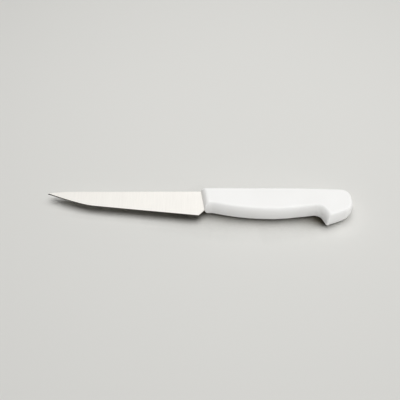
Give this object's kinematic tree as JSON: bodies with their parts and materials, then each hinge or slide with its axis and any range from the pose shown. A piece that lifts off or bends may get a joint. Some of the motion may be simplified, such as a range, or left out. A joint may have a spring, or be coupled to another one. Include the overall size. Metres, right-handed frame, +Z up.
{
  "type": "cheese knife",
  "caption": "Small cheese knife with a narrow pointed steel blade, a slanted heel and a flat-sided white moulded handle with a finger notch and a hooked butt, lying on its side.",
  "frame": {"origin": "on the surface that the knife lies on, under the middle of its bounding box", "axes": "+X from the blade's point to the butt, +Y from the cutting edge to the spine, +Z up, square to the handle's flat sides"},
  "size_m": [0.2336, 0.0298, 0.0152],
  "materials": {
    "blade_steel": "satin ground stainless steel with a fine grain across the blade and a narrow honed bevel at the edge",
    "handle_plastic": "smooth satin white moulded plastic"
  },
  "bodies": {
    "root": {"blade": "blade_steel", "handle": "handle_plastic"}
  },
  "joints": []
}
